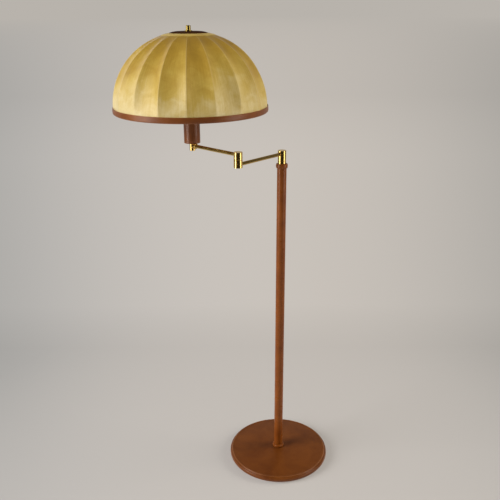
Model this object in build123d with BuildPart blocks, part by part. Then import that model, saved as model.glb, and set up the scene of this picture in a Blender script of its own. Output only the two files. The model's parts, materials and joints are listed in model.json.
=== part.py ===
from build123d import *
import os
from math import asin, acos, atan, cos, degrees, pi, radians, sin

# Swing arm floor lamp: a leather-covered stand, a jointed brass arm and a domed parchment shade.
# Millimetres. The origin is the middle of the base's underside on the pole axis, and +Z is up.
# +X is to the right and +Y to the rear as the lamp stands at rest.

# Base: a weighted disc covered in leather, on a narrower foot with a felt pad
base_diameter = 320.0
base_height = 28.0
base_edge_height = 22.0
base_edge_radius = 8.0
base_foot_radius = 7.0
base_leather = 1.6
hem_width = 10.0
hem_lift = 5.0
foot_gap = 0.5
felt_thickness = 2.0
pocket_diameter = 200.0
pocket_depth = 10.0

# Lead inlet in the rear edge of the base
inlet_bore = 6.5
inlet_wall = 1.25
inlet_height = 13.0
inlet_length = 20.0
inlet_proud = 0.6

# Pole: a steel tube sleeved in leather, held by a threaded plug at its foot
tube_diameter = 24.0
tube_wall = 1.5
tube_socket_depth = 6.0
pole_top = 992.0
pole_leather_thickness = 1.7
foot_plug_length = 25.0
foot_washer_diameter = 30.0
foot_washer_thickness = 2.0
base_collar_diameter = 36.0
base_collar_height = 10.0
top_collar_diameter = 34.2
top_collar_height = 13.6
collar_round = 3.2

# Threads and pivots shared by the stand, the arm and the head
thread_diameter = 10.0
wire_bore = 7.0
nut_flats = 14.0
nut_height = 4.4
shank_end = 1.0
running_clearance = 0.05
axial_play = 0.1
swivel_washer = 0.6
washer_inset = 0.2

# Swing arm: two equal tubes between three round hubs
arm_length = 179.0
arm_diameter = 10.0
arm_wall = 1.2
lower_arm_heading = 227.0
elbow_bend = -90.5
hub_diameter = 23.8
hub_cavity = 17.0
hub_round = 0.4
hub_cap_thickness = 1.6
neck_height = 7.8
neck_spigot = 30.0
shoulder_hub_height = 29.0
shoulder_hub_floor = 9.0
shoulder_arm_drop = 10.0
elbow_hub_height = 20.5
elbow_hub_floor = 6.7
elbow_arm_inset = 7.75
arm_end_gap = 0.1

# Head: a post, a leather-sleeved cup and a lampholder
post_diameter = 16.0
post_height = 22.3
post_above_arm = 8.6
post_round = 1.2
post_arm_depth = 4.0
ferrule_diameter = 15.4
ferrule_length = 8.5
ferrule_round = 1.6
ferrule_groove_width = 1.4
ferrule_groove_depth = 0.8
ferrule_groove_place = 3.0
nipple_depth = 3.2
nipple_reach = 6.0
cup_diameter = 45.2
cup_height = 58.0
cup_leather_thickness = 1.2
cup_wall = 1.0
cup_floor = 2.0
holder_diameter = 38.6
holder_height = 58.0
holder_lift = 11.7
holder_floor = 8.0
holder_wall = 5.4
holder_sleeve_wall = 0.6
holder_sleeve_drop = 6.0
contact_diameter = 8.0
contact_height = 10.0
holder_ring_diameter = 46.0
holder_ring_height = 6.0

# Bulb with a 27 mm screw cap
bulb_diameter = 60.0
bulb_length = 110.0
bulb_cap_length = 26.0
bulb_tip_diameter = 10.0
bulb_tip_height = 2.0
bulb_thread_clearance = 0.1
bulb_glass_wall = 0.8
bulb_neck_inset = 0.4
bulb_flare = 45.0

# Harp: a bent wire on a ring that carries the shade by a threaded stud
harp_height = 229.3
harp_ring_diameter = 62.0
harp_ring_thickness = 1.5
harp_wire_diameter = 3.5
harp_foot_spread = 54.0
harp_spread = 100.0
harp_foot_rise = 14.0
harp_shoulder_rise = 38.0
harp_foot_bend = 8.0
harp_shoulder_bend = 12.0
harp_crown_bend = 43.0
stud_diameter = 6.0
stud_boss_diameter = 12.0
stud_boss_above = 8.3
stud_boss_below = 4.5
stud_engagement = 9.0

# Shade: parchment panels sagging between wire ribs, from a round rim up to a small top ring
shade_diameter = 422.0
shade_top_diameter = 102.0
shade_rise = 202.0
dome_belly_height = 13.5
panel_count = 18
seam_heading = -88.0
panel_thickness = 0.8
panel_sag = 0.12
seam_gap = 0.7
rib_diameter = 2.5
rim_wire_diameter = 4.0
rim_wire_gap = 0.8
frame_gap = 0.1
panel_edge_gap = 0.5
rim_band_height = 16.0
rim_band_leather = 1.6
rim_band_inner_height = 10.0
top_ring_width = 7.0
top_ring_thickness = 2.0
top_ring_gap = 0.9
spider_arms = 3
spider_arm_width = 8.0
spider_hub_diameter = 20.0
top_band_outer_diameter = 146.0
top_band_thickness = 0.8
top_band_lift = 0.1
cap_diameter = 102.0
cap_thickness = 5.0
cap_edge_thickness = 1.2
cap_flat_diameter = 60.0
cap_hole_clearance = 0.3
finial_washer_diameter = 20.0
finial_washer_thickness = 2.3
finial_diameter = 13.0
finial_height = 12.5
finial_round = 1.5

# Heights up the stand
hem_opening = base_diameter - 2 * (base_foot_radius + hem_width)
foot_diameter = hem_opening - 2 * foot_gap
foot_height = hem_lift + base_leather - felt_thickness
pocket_roof = felt_thickness + pocket_depth
socket_floor = base_height - base_leather - tube_socket_depth
tube_bore = tube_diameter - 2 * tube_wall
pole_diameter = tube_diameter + 2 * pole_leather_thickness
foot_nut_top = pocket_roof - foot_washer_thickness
shank_bottom = foot_nut_top - nut_height - shank_end
neck_top = pole_top + neck_height

# Heights and places along the arm
pin_hole = thread_diameter + 2 * running_clearance
washer_diameter = hub_diameter - 2 * washer_inset
shoulder_bottom = neck_top + swivel_washer + axial_play
shoulder_top = shoulder_bottom + shoulder_hub_height
lower_arm_z = shoulder_top - shoulder_arm_drop
elbow_lower_bottom = lower_arm_z - elbow_arm_inset
elbow_lower_top = elbow_lower_bottom + elbow_hub_height
elbow_upper_bottom = elbow_lower_top + swivel_washer + axial_play
elbow_upper_top = elbow_upper_bottom + elbow_hub_height
upper_arm_z = elbow_upper_top - elbow_arm_inset
arm_start = hub_cavity / 2 + arm_end_gap
arm_bore = arm_diameter - 2 * arm_wall
pole_axis = Vector(0, 0)
lower_arm_way = Vector(1, 0).rotate(Axis.Z, lower_arm_heading)
upper_arm_way = Vector(1, 0).rotate(Axis.Z, lower_arm_heading + elbow_bend)
elbow_axis = lower_arm_way * arm_length
head_axis = elbow_axis + upper_arm_way * arm_length

# Heights up the head
post_top = upper_arm_z + post_above_arm
post_bottom = post_top - post_height
cup_shell_diameter = cup_diameter - 2 * cup_leather_thickness
cup_bore = cup_shell_diameter - 2 * cup_wall
cup_top = post_top + cup_height
holder_bottom = post_top + holder_lift
holder_cavity_floor = holder_bottom + holder_floor
holder_top = holder_bottom + holder_height
holder_bore = holder_diameter - 2 * holder_wall
holder_sleeve_bore = holder_bore - 2 * holder_sleeve_wall
harp_ring_top = cup_top + harp_ring_thickness
stud_seat = harp_ring_top + harp_height
harp_wire_top = stud_seat - stud_boss_above
bulb_tip = holder_cavity_floor + contact_height
bulb_cap_bottom = bulb_tip + bulb_tip_height
bulb_cap_top = bulb_cap_bottom + bulb_cap_length
bulb_cap_diameter = holder_sleeve_bore - 2 * bulb_thread_clearance
bulb_top = bulb_tip + bulb_length

# Heights and curve of the shade: the panels follow one arc that is widest a little above the rim
shade_top = stud_seat + axial_play + top_ring_thickness
shade_rim = shade_top - shade_rise
dome_belly = shade_rim + dome_belly_height
dome_end = 2 * atan((shade_diameter - shade_top_diameter) / 2 / (shade_top - dome_belly))
dome_radius = (shade_top - dome_belly) / sin(dome_end)
dome_offset = shade_diameter / 2 - dome_radius
dome_centre = (dome_offset, dome_belly)
panel_angle = 360 / panel_count
top_ring_diameter = shade_top_diameter - 2 * top_ring_gap
cap_top = shade_top + cap_thickness
finial_washer_bottom = cap_top + axial_play
finial_bottom = finial_washer_bottom + finial_washer_thickness


def level(axis, height):
    """A horizontal plane whose origin is on an upright axis, at a height."""
    return Plane(origin=(axis.X, axis.Y, height))


def upright(axis):
    """An upright plane through an axis, seen from the front: its x points right and its y points up."""
    return Plane(origin=(axis.X, axis.Y, 0), x_dir=(1, 0, 0), z_dir=(0, -1, 0))


def spin(axis):
    """The upright axis that turned pieces are revolved about."""
    return Axis((axis.X, axis.Y, 0), (0, 0, 1))


def plate(plane, diameter, height, bore=0.0, mode=Mode.ADD):
    """A round plate standing on a plane, or a ring where it has a bore."""
    with BuildSketch(plane) as outline:
        Circle(diameter / 2)
        if bore:
            Circle(bore / 2, mode=Mode.SUBTRACT)
    extrude(outline.sketch, amount=height, mode=mode)


def round_rim(radius, end=-1):
    """Round the outermost edge at the upper end of the piece so far, or the lower end at 0."""
    rims = edges().filter_by(GeomType.CIRCLE).group_by(Axis.Z)[end]
    fillet(rims.sort_by(SortBy.RADIUS)[-1], radius)


def hexagon_nut(plane, height):
    """A thin hexagon nut for the shared thread."""
    with BuildSketch(plane) as outline:
        RegularPolygon(nut_flats / 2, 6, major_radius=False)
        Circle(thread_diameter / 2, mode=Mode.SUBTRACT)
    extrude(outline.sketch, amount=height)


def base_disc(inset, mode=Mode.ADD):
    """The base's crowned disc with its rounded edge, drawn in from the leather's outside."""
    edge = base_diameter / 2 - inset
    bottom = hem_lift + inset
    shoulder = base_edge_height - inset
    edge_round = base_edge_radius - inset
    foot_round = base_foot_radius - inset
    crown = (0, base_height - inset)
    with BuildSketch(Plane.XZ) as section:
        with BuildLine():
            TangentArc(crown, (edge - edge_round, shoulder), tangent=(1, 0))
            TangentArc((edge - edge_round, shoulder), (edge, shoulder - edge_round), tangent=(1, 0))
            Line((edge, shoulder - edge_round), (edge, bottom + foot_round))
            TangentArc((edge, bottom + foot_round), (edge - foot_round, bottom), tangent=(0, -1))
            Polyline((edge - foot_round, bottom), (0, bottom), crown)
        make_face()
    revolve(section.sketch, axis=Axis.Z, mode=mode)


def arm_hub(axis, bottom, height, floor, arm_z, arm_way, pin_bore, cavity_below=False):
    """A round hub with a pin bore through its floor, a wiring cavity and a side socket for an arm."""
    cavity_bottom = bottom if cavity_below else bottom + floor
    plate(level(axis, bottom), hub_diameter, height)
    round_rim(hub_round)
    round_rim(hub_round, 0)
    plate(level(axis, bottom), pin_bore, height, mode=Mode.SUBTRACT)
    plate(level(axis, cavity_bottom), hub_cavity, height - floor, mode=Mode.SUBTRACT)
    arm_socket = Plane(origin=(axis.X, axis.Y, arm_z), z_dir=arm_way)
    plate(arm_socket, arm_diameter, hub_diameter, mode=Mode.SUBTRACT)


def arm_tube(start, way, length):
    """A straight arm tube from a point along a way."""
    plate(Plane(origin=start, z_dir=way), arm_diameter, length, arm_bore)


def save(piece, name):
    """Label a finished piece and write it to its own file."""
    piece.part.label = name
    export_step(piece.part, "parts/" + name + ".step")


os.makedirs("parts", exist_ok=True)

# Stand

inlet_start = base_diameter / 2 + inlet_proud - inlet_length
inlet_diameter = inlet_bore + 2 * inlet_wall
inlet_plane = Plane(origin=(0, inlet_start, inlet_height), z_dir=(0, 1, 0))
inlet_drill = Plane(origin=(0, pocket_diameter / 2 - inlet_diameter, inlet_height), z_dir=(0, 1, 0))

with BuildPart() as base_weight:
    base_disc(base_leather)
    plate(level(pole_axis, felt_thickness), foot_diameter, foot_height)
    plate(level(pole_axis, felt_thickness), pocket_diameter, pocket_depth, mode=Mode.SUBTRACT)
    plate(level(pole_axis, socket_floor), tube_diameter, base_height, mode=Mode.SUBTRACT)
    plate(level(pole_axis, 0), thread_diameter, base_height, mode=Mode.SUBTRACT)
    plate(inlet_drill, inlet_diameter, base_diameter, mode=Mode.SUBTRACT)
save(base_weight, "base_weight")

with BuildPart() as base_cover:
    base_disc(0)
    base_disc(base_leather, Mode.SUBTRACT)
    plate(level(pole_axis, hem_lift), hem_opening, base_leather, mode=Mode.SUBTRACT)
    plate(level(pole_axis, socket_floor), tube_diameter, base_height, mode=Mode.SUBTRACT)
    plate(inlet_drill, inlet_diameter, base_diameter, mode=Mode.SUBTRACT)
save(base_cover, "base_cover")

with BuildPart() as base_felt:
    plate(Plane.XY, foot_diameter, felt_thickness)
save(base_felt, "base_felt")

with BuildPart() as cord_grommet:
    plate(inlet_plane, inlet_diameter, inlet_length, inlet_bore)
save(cord_grommet, "cord_grommet")

with BuildPart() as foot_plug:
    plate(level(pole_axis, socket_floor), tube_bore, foot_plug_length, wire_bore)
    plate(level(pole_axis, shank_bottom), thread_diameter, socket_floor - shank_bottom, wire_bore)
save(foot_plug, "foot_plug")

with BuildPart() as foot_washer:
    plate(level(pole_axis, foot_nut_top), foot_washer_diameter, foot_washer_thickness, thread_diameter)
save(foot_washer, "foot_washer")

with BuildPart() as foot_nut:
    hexagon_nut(level(pole_axis, foot_nut_top - nut_height), nut_height)
save(foot_nut, "foot_nut")

with BuildPart() as base_collar:
    plate(level(pole_axis, base_height), base_collar_diameter, base_collar_height, pole_diameter)
    round_rim(collar_round)
save(base_collar, "base_collar")

with BuildPart() as pole_tube:
    plate(level(pole_axis, socket_floor), tube_diameter, pole_top - socket_floor, tube_bore)
save(pole_tube, "pole_tube")

with BuildPart() as pole_leather:
    plate(level(pole_axis, base_height), pole_diameter, pole_top - base_height, tube_diameter)
save(pole_leather, "pole_leather")

top_collar_bottom = pole_top - top_collar_height
with BuildPart() as top_collar:
    plate(level(pole_axis, top_collar_bottom), top_collar_diameter, top_collar_height, pole_diameter)
    round_rim(collar_round)
    round_rim(collar_round, 0)
save(top_collar, "top_collar")

neck_bottom = pole_top - neck_spigot
with BuildPart() as pole_neck:
    plate(level(pole_axis, pole_top), hub_diameter, neck_height, thread_diameter)
    plate(level(pole_axis, neck_bottom), tube_bore, neck_spigot, thread_diameter)
save(pole_neck, "pole_neck")

shoulder_nut_bottom = shoulder_bottom + shoulder_hub_floor + axial_play
shoulder_pin_length = shoulder_nut_bottom + nut_height + shank_end - neck_bottom

with BuildPart() as shoulder_pin:
    plate(level(pole_axis, neck_bottom), thread_diameter, shoulder_pin_length, wire_bore)
save(shoulder_pin, "shoulder_pin")

with BuildPart() as shoulder_washer:
    plate(level(pole_axis, neck_top), washer_diameter, swivel_washer, thread_diameter)
save(shoulder_washer, "shoulder_washer")

with BuildPart() as shoulder_nut:
    hexagon_nut(level(pole_axis, shoulder_nut_bottom), nut_height)
save(shoulder_nut, "shoulder_nut")

# Lower arm

with BuildPart() as shoulder_hub:
    arm_hub(
        pole_axis, shoulder_bottom, shoulder_hub_height, shoulder_hub_floor,
        lower_arm_z, lower_arm_way, pin_hole,
    )
save(shoulder_hub, "shoulder_hub")

with BuildPart() as shoulder_cap:
    plate(level(pole_axis, shoulder_top - hub_cap_thickness), hub_cavity, hub_cap_thickness)
save(shoulder_cap, "shoulder_cap")

lower_arm_start = Vector(0, 0, lower_arm_z) + lower_arm_way * arm_start
with BuildPart() as lower_arm_tube:
    arm_tube(lower_arm_start, lower_arm_way, arm_length - 2 * arm_start)
save(lower_arm_tube, "lower_arm_tube")

with BuildPart() as elbow_lower_hub:
    arm_hub(
        elbow_axis, elbow_lower_bottom, elbow_hub_height, elbow_hub_floor,
        lower_arm_z, -lower_arm_way, thread_diameter, cavity_below=True,
    )
save(elbow_lower_hub, "elbow_lower_hub")

with BuildPart() as elbow_lower_cap:
    plate(level(elbow_axis, elbow_lower_bottom), hub_cavity, hub_cap_thickness)
save(elbow_lower_cap, "elbow_lower_cap")

elbow_pin_bottom = elbow_lower_top - elbow_hub_floor
elbow_nut_bottom = elbow_upper_bottom + elbow_hub_floor + axial_play
elbow_pin_length = elbow_nut_bottom + nut_height + shank_end - elbow_pin_bottom

with BuildPart() as elbow_pin:
    plate(level(elbow_axis, elbow_pin_bottom), thread_diameter, elbow_pin_length, wire_bore)
save(elbow_pin, "elbow_pin")

with BuildPart() as elbow_nut:
    hexagon_nut(level(elbow_axis, elbow_nut_bottom), nut_height)
save(elbow_nut, "elbow_nut")

# Upper arm and head

elbow_washer_bottom = elbow_upper_bottom - swivel_washer
with BuildPart() as elbow_washer:
    plate(level(elbow_axis, elbow_washer_bottom), washer_diameter, swivel_washer, pin_hole)
save(elbow_washer, "elbow_washer")

with BuildPart() as elbow_upper_hub:
    arm_hub(
        elbow_axis, elbow_upper_bottom, elbow_hub_height, elbow_hub_floor,
        upper_arm_z, upper_arm_way, pin_hole,
    )
save(elbow_upper_hub, "elbow_upper_hub")

with BuildPart() as elbow_upper_cap:
    plate(level(elbow_axis, elbow_upper_top - hub_cap_thickness), hub_cavity, hub_cap_thickness)
save(elbow_upper_cap, "elbow_upper_cap")

upper_arm_start = Vector(elbow_axis.X, elbow_axis.Y, upper_arm_z) + upper_arm_way * arm_start
with BuildPart() as upper_arm_tube:
    arm_tube(upper_arm_start, upper_arm_way, arm_length - arm_start - post_arm_depth)
save(upper_arm_tube, "upper_arm_tube")

post_centre = Vector(head_axis.X, head_axis.Y, upper_arm_z)
ferrule_reach = post_diameter / 2 + ferrule_length
groove_diameter = ferrule_diameter - 2 * ferrule_groove_depth
groove_start = post_centre - upper_arm_way * (post_diameter / 2 + ferrule_groove_place)
with BuildPart() as arm_ferrule:
    plate(Plane(origin=post_centre, z_dir=-upper_arm_way), ferrule_diameter, ferrule_reach)
    fillet(edges().sort_by(Axis(post_centre, -upper_arm_way))[-1], ferrule_round)
    groove_plane = Plane(origin=groove_start, z_dir=-upper_arm_way)
    plate(groove_plane, ferrule_diameter, ferrule_groove_width, groove_diameter, Mode.SUBTRACT)
    plate(Plane(origin=post_centre, z_dir=-upper_arm_way), arm_diameter, ferrule_reach, mode=Mode.SUBTRACT)
    plate(level(head_axis, post_bottom), post_diameter, post_height, mode=Mode.SUBTRACT)
save(arm_ferrule, "arm_ferrule")

post_socket = Plane(origin=post_centre - upper_arm_way * post_arm_depth, z_dir=-upper_arm_way)
passage_end = post_centre + upper_arm_way * (wire_bore / 2 + arm_end_gap)
post_passage = Plane(origin=passage_end, z_dir=-upper_arm_way)
with BuildPart() as end_post:
    plate(level(head_axis, post_bottom), post_diameter, post_height)
    round_rim(post_round, 0)
    plate(level(head_axis, post_top - nipple_depth), thread_diameter, nipple_depth, mode=Mode.SUBTRACT)
    plate(level(head_axis, upper_arm_z), wire_bore, post_height, mode=Mode.SUBTRACT)
    plate(post_socket, arm_diameter, post_diameter, mode=Mode.SUBTRACT)
    plate(post_passage, arm_bore, post_diameter, mode=Mode.SUBTRACT)
save(end_post, "end_post")

nipple_bottom = post_top - nipple_depth
nipple_top = holder_bottom + nipple_reach
with BuildPart() as holder_nipple:
    plate(level(head_axis, nipple_bottom), thread_diameter, nipple_top - nipple_bottom, wire_bore)
save(holder_nipple, "holder_nipple")

with BuildPart() as socket_cup:
    plate(level(head_axis, post_top), cup_shell_diameter, cup_height)
    plate(level(head_axis, post_top + cup_floor), cup_bore, cup_height, mode=Mode.SUBTRACT)
    plate(level(head_axis, post_top), thread_diameter, cup_floor, mode=Mode.SUBTRACT)
save(socket_cup, "socket_cup")

with BuildPart() as cup_leather:
    plate(level(head_axis, post_top), cup_diameter, cup_height, cup_shell_diameter)
save(cup_leather, "cup_leather")

with BuildPart() as lampholder_body:
    plate(level(head_axis, holder_bottom), holder_diameter, holder_height)
    plate(level(head_axis, holder_cavity_floor), holder_bore, holder_height, mode=Mode.SUBTRACT)
    plate(level(head_axis, holder_bottom), thread_diameter, nipple_reach, mode=Mode.SUBTRACT)
    plate(level(head_axis, holder_bottom), wire_bore, holder_floor, mode=Mode.SUBTRACT)
save(lampholder_body, "lampholder_body")

holder_sleeve_length = holder_top - holder_sleeve_drop - bulb_tip
with BuildPart() as lampholder_sleeve:
    plate(level(head_axis, bulb_tip), holder_bore, holder_sleeve_length, holder_sleeve_bore)
save(lampholder_sleeve, "lampholder_sleeve")

with BuildPart() as lampholder_contact:
    plate(level(head_axis, holder_cavity_floor), contact_diameter, contact_height)
save(lampholder_contact, "lampholder_contact")

with BuildPart() as harp_ring:
    plate(level(head_axis, cup_top), harp_ring_diameter, harp_ring_thickness, holder_diameter)
save(harp_ring, "harp_ring")

with BuildPart() as lampholder_ring:
    plate(level(head_axis, harp_ring_top), holder_ring_diameter, holder_ring_height, holder_diameter)
save(lampholder_ring, "lampholder_ring")

harp_foot = harp_foot_spread / 2
harp_side = harp_spread / 2
harp_left = [
    (-harp_foot, harp_ring_top),
    (-harp_foot, harp_ring_top + harp_foot_rise),
    (-harp_side, harp_ring_top + harp_shoulder_rise),
    (-harp_side, harp_wire_top),
]
harp_right = [(-x, z) for x, z in reversed(harp_left)]
harp_bends = [harp_foot_bend, harp_shoulder_bend, harp_crown_bend]
harp_foot_plane = Plane(origin=(head_axis.X - harp_foot, head_axis.Y, harp_ring_top))

with BuildPart() as harp_wire:
    with BuildLine(upright(head_axis)):
        FilletPolyline(*harp_left, *harp_right, radius=harp_bends + harp_bends[::-1])
    with BuildSketch(harp_foot_plane):
        Circle(harp_wire_diameter / 2)
    sweep()
save(harp_wire, "harp_wire")

stud_boss_bottom = harp_wire_top - stud_boss_below
stud_top = finial_bottom + stud_engagement
wire_hole_plane = Plane(origin=(head_axis.X, head_axis.Y, harp_wire_top), z_dir=(1, 0, 0))
with BuildPart() as harp_stud:
    plate(level(head_axis, stud_boss_bottom), stud_boss_diameter, stud_seat - stud_boss_bottom)
    plate(level(head_axis, stud_seat), stud_diameter, stud_top - stud_seat)
    with BuildSketch(wire_hole_plane) as wire_hole:
        Circle(harp_wire_diameter / 2)
    extrude(wire_hole.sketch, amount=stud_boss_diameter, both=True, mode=Mode.SUBTRACT)
save(harp_stud, "harp_stud")

with BuildPart() as bulb_cap:
    plate(level(head_axis, bulb_tip), bulb_tip_diameter, bulb_tip_height)
    plate(level(head_axis, bulb_cap_bottom), bulb_cap_diameter, bulb_cap_length)
save(bulb_cap, "bulb_cap")


def bulb_envelope(inset, mode=Mode.ADD):
    """The bulb's round envelope and neck, drawn in from the glass's outside."""
    radius = bulb_diameter / 2 - inset
    neck = bulb_cap_diameter / 2 - bulb_neck_inset - inset
    centre = bulb_top - bulb_diameter / 2
    flare = radians(bulb_flare)
    belly = (radius * cos(flare), centre - radius * sin(flare))
    waist = (neck, belly[1] - (belly[0] - neck) / sin(flare) * cos(flare))
    with BuildSketch(upright(head_axis)) as section:
        with BuildLine():
            ThreePointArc((0, centre + radius), (radius, centre), belly)
            Polyline(belly, waist, (neck, bulb_cap_top), (0, bulb_cap_top), (0, centre + radius))
        make_face()
    revolve(section.sketch, axis=spin(head_axis), mode=mode)


with BuildPart() as bulb_glass:
    bulb_envelope(0)
    bulb_envelope(bulb_glass_wall, Mode.SUBTRACT)
save(bulb_glass, "bulb_glass")

with BuildPart() as finial_washer:
    washer_seat = level(head_axis, finial_washer_bottom)
    plate(washer_seat, finial_washer_diameter, finial_washer_thickness, stud_diameter)
save(finial_washer, "finial_washer")

with BuildPart() as finial:
    plate(level(head_axis, finial_bottom), finial_diameter, finial_height)
    round_rim(finial_round)
    plate(level(head_axis, finial_bottom), stud_diameter, stud_engagement, mode=Mode.SUBTRACT)
save(finial, "finial")

# Shade

top_ring_plane = level(head_axis, shade_top - top_ring_thickness)
top_ring_bore = top_ring_diameter - 2 * top_ring_width
spoke_length = top_ring_diameter / 2 - top_ring_width / 2
stud_hole = stud_diameter + 2 * running_clearance

with BuildPart() as shade_top_ring:
    plate(top_ring_plane, top_ring_diameter, top_ring_thickness, top_ring_bore)
    plate(top_ring_plane, spider_hub_diameter, top_ring_thickness)
    with BuildSketch(top_ring_plane) as spokes:
        with PolarLocations(0, spider_arms):
            Rectangle(spoke_length, spider_arm_width, align=(Align.MIN, Align.CENTER))
    extrude(spokes.sketch, amount=top_ring_thickness)
    plate(top_ring_plane, stud_hole, top_ring_thickness, mode=Mode.SUBTRACT)
save(shade_top_ring, "shade_top_ring")

rib_path_radius = dome_radius - panel_thickness - frame_gap - rib_diameter / 2
rib_start = degrees(asin((rim_wire_diameter + frame_gap - dome_belly_height) / rib_path_radius))
rib_sweep = degrees(dome_end) - rib_start

with BuildPart() as one_rib:
    with BuildLine(Plane.XZ) as rib_path:
        CenterArc(dome_centre, rib_path_radius, rib_start, rib_sweep)
    with BuildSketch(Plane(origin=rib_path.line @ 0, z_dir=rib_path.line % 0)):
        Circle(rib_diameter / 2)
    sweep()

with BuildPart(level(head_axis, 0)) as shade_ribs:
    with PolarLocations(0, panel_count, start_angle=seam_heading):
        add(one_rib.part)
save(shade_ribs, "shade_ribs")

rim_wire_radius = shade_diameter / 2 - panel_thickness - rim_wire_gap - rim_wire_diameter / 2
with BuildPart() as shade_bottom_ring:
    with BuildSketch(upright(head_axis)) as rim_wire:
        with Locations((rim_wire_radius, shade_rim + rim_wire_diameter / 2)):
            Circle(rim_wire_diameter / 2)
    revolve(rim_wire.sketch, axis=spin(head_axis))
save(shade_bottom_ring, "shade_bottom_ring")

half_angle = radians(panel_angle / 2)
panel_top_radius = cap_diameter / 2 / cos(half_angle) + panel_edge_gap
panel_end = acos((panel_top_radius - dome_offset) / dome_radius)
panel_start = asin((panel_edge_gap - dome_belly_height) / dome_radius)


def panel_section(share):
    """Cross-section of one panel at a share of the way up: a strip that sags in between two ribs."""
    rise = panel_start + share * (panel_end - panel_start)
    radius = dome_offset + dome_radius * cos(rise)
    half_width = radius * sin(half_angle) - seam_gap / 2
    bulge = radius * (1 - cos(half_angle)) * cos(rise)
    middle = bulge - panel_sag * 2 * half_width * sin(pi * share)
    chord_middle = (radius * cos(half_angle), 0, dome_belly + dome_radius * sin(rise))
    across = Plane(origin=chord_middle, x_dir=(0, -1, 0), z_dir=(-sin(rise), 0, cos(rise)))
    depth = panel_thickness
    with BuildSketch(across) as strip:
        with BuildLine():
            outer = ThreePointArc((-half_width, 0), (0, middle), (half_width, 0))
            inner = ThreePointArc((-half_width, -depth), (0, middle - depth), (half_width, -depth))
            Line(outer @ 0, inner @ 0)
            Line(outer @ 1, inner @ 1)
        make_face()
    return strip.sketch


panel_shares = [0, 0.16, 0.33, 0.5, 0.67, 0.84, 1]

with BuildPart() as one_panel:
    loft([panel_section(share) for share in panel_shares])

with BuildPart(level(head_axis, 0)) as shade_panels:
    with PolarLocations(0, panel_count, start_angle=seam_heading + panel_angle / 2):
        add(one_panel.part)
save(shade_panels, "shade_panels")

top_band_inner = dome_radius + top_band_lift
top_band_outer = top_band_inner + top_band_thickness
top_band_start = degrees(acos((top_band_outer_diameter / 2 - dome_offset) / top_band_outer))
top_band_end = degrees(acos((cap_diameter / 2 + top_band_thickness - dome_offset) / top_band_outer))
top_band_sweep = top_band_end - top_band_start

with BuildPart() as shade_top_band:
    with BuildSketch(upright(head_axis)) as band_section:
        with BuildLine():
            over = CenterArc(dome_centre, top_band_outer, top_band_start, top_band_sweep)
            under = CenterArc(dome_centre, top_band_inner, top_band_start, top_band_sweep)
            Line(over @ 0, under @ 0)
            Line(over @ 1, under @ 1)
        make_face()
    revolve(band_section.sketch, axis=spin(head_axis))
save(shade_top_band, "shade_top_band")

rim_band_plane = level(head_axis, shade_rim - rim_band_leather)
rim_band_diameter = shade_diameter + 2 * rim_band_leather
rim_band_lining = 2 * rim_wire_radius - rim_wire_diameter
rim_band_bore = rim_band_lining - 2 * rim_band_leather

with BuildPart() as shade_rim_band:
    plate(rim_band_plane, rim_band_diameter, rim_band_leather, rim_band_bore)
    plate(rim_band_plane, rim_band_diameter, rim_band_height, shade_diameter)
    plate(rim_band_plane, rim_band_lining, rim_band_inner_height, rim_band_bore)
save(shade_rim_band, "shade_rim_band")

cap_hole = stud_diameter + 2 * cap_hole_clearance
cap_rim = (cap_diameter / 2, shade_top + cap_edge_thickness)
with BuildPart() as shade_cap:
    with BuildSketch(upright(head_axis)) as cap_section:
        with BuildLine():
            TangentArc((cap_flat_diameter / 2, cap_top), cap_rim, tangent=(1, 0))
            Polyline(cap_rim, (cap_diameter / 2, shade_top), (0, shade_top), (0, cap_top))
            Line((0, cap_top), (cap_flat_diameter / 2, cap_top))
        make_face()
    revolve(cap_section.sketch, axis=spin(head_axis))
    plate(level(head_axis, shade_top), cap_hole, cap_thickness, mode=Mode.SUBTRACT)
save(shade_cap, "shade_cap")
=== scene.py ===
import json
import random
from math import acos, asin, atan, ceil, copysign, cos, exp, pi, radians, sin, sqrt, tau

import bmesh
import bpy
from mathutils import Matrix, Vector, noise


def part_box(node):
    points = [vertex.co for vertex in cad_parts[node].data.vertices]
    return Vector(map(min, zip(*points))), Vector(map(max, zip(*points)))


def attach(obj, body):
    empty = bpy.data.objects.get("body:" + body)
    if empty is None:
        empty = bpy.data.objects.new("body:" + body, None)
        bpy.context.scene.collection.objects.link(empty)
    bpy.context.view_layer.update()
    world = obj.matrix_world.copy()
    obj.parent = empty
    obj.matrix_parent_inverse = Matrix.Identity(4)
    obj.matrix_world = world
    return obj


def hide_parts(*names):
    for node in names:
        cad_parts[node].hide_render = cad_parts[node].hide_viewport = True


# The looks of a swing arm floor lamp: leather over the stand, brass in the arm, parchment on the shade.
# Metres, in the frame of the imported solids: +Z up, +X right and +Y to the rear.

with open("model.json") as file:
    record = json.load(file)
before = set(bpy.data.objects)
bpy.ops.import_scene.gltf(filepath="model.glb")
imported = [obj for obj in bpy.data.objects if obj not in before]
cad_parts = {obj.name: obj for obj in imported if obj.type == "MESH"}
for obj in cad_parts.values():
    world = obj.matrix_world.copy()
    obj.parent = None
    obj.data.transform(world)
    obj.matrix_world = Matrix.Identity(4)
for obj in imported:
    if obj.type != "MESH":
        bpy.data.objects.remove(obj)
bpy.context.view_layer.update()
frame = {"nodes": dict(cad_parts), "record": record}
random.seed(37552)

# Camera at the photograph's view
CAMERA_PLACE = Vector((-0.0918, -1.8310, 1.4213))
CAMERA_PITCH = radians(-20.712)
CAMERA_ROLL = radians(-0.254)
CAMERA_LENS = 47.21
SENSOR_WIDTH = 36.0

# Floor: shadowed round the lamp with a painted glow mixed in that lightens the shadow, and the glow takes
# over further out
FLOOR_REACH = 1500.0
FLOOR_SIDES = 64
FLOOR_LIGHT = (0.634, 0.602, 0.574)
FLOOR_DARK = (0.620, 0.588, 0.560)
FLOOR_GLOW_NEAR = 0.45
FADE_START = 0.30
FADE_END = 1.20

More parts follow.
